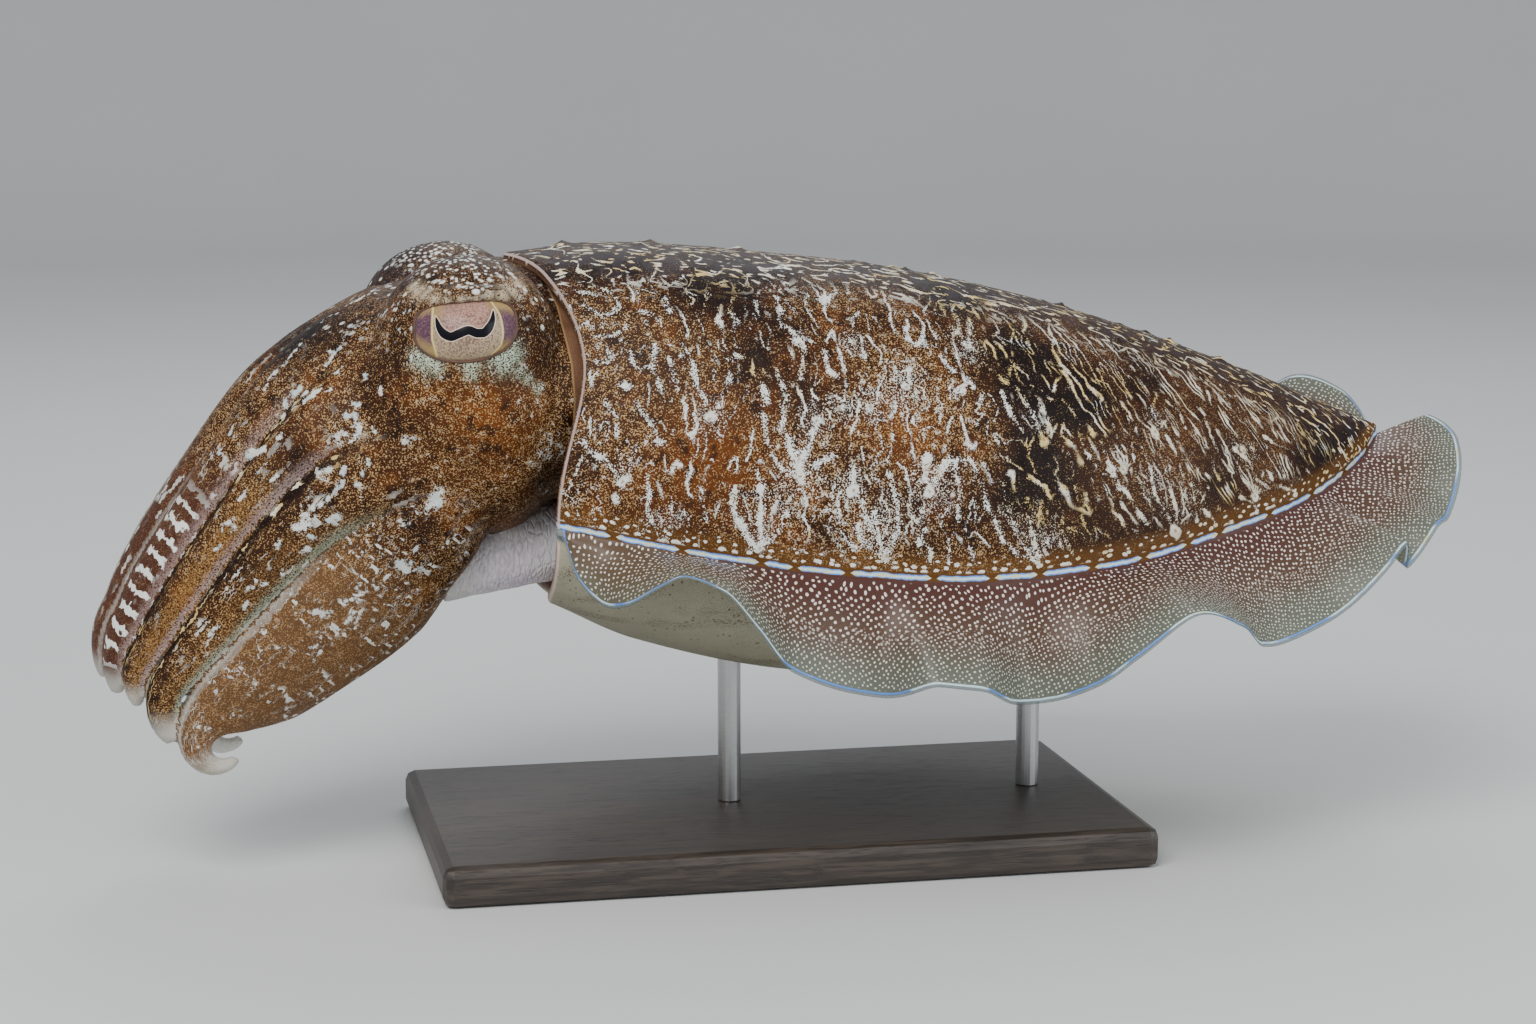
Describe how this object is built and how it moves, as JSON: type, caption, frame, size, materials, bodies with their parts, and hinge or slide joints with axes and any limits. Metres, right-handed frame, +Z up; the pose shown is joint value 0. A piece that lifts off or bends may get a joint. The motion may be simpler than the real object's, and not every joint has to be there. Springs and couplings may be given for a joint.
{
  "type": "common cuttlefish, life-size still model on a stand",
  "caption": "Life-size cuttlefish swimming with drooped arms, rippled side fins and raised eyes, held level over a flat base by short rods.",
  "frame": {"origin": "centre of the stand base's underside", "axes": "+Z up, head towards -X and tail towards +X, the animal's left side towards -Y"},
  "size_m": [0.4106, 0.188, 0.1815],
  "materials": {
    "skin": "moist brown skin with pale streaks and white spots",
    "fin_membrane": "thin, slightly see-through, dotted white",
    "pale_flesh": "pale lilac, moist",
    "eye": "clear, wet surface over a dark W-shaped pupil",
    "stand_board": "satin dark grey",
    "stand_steel": "brushed"
  },
  "bodies": {
    "root": {"mantle": "skin", "head": "skin", "arm_left_1_base": "skin", "arm_left_1_tip": "skin", "arm_left_2_base": "skin", "arm_left_2_tip": "skin", "arm_left_3_base": "skin", "arm_left_3_tip": "skin", "arm_left_4_base": "skin", "arm_left_4_tip": "skin", "arm_right_1_base": "skin", "arm_right_1_tip": "skin", "arm_right_2_base": "skin", "arm_right_2_tip": "skin", "arm_right_3_base": "skin", "arm_right_3_tip": "skin", "arm_right_4_base": "skin", "arm_right_4_tip": "skin", "fin_left": "fin_membrane", "fin_right": "fin_membrane", "funnel": "pale_flesh", "mouth": "pale_flesh", "eye_left": "eye", "eye_right": "eye", "stand_base": "stand_board", "stand_rod_1": "stand_steel", "stand_rod_2": "stand_steel"}
  },
  "joints": []
}
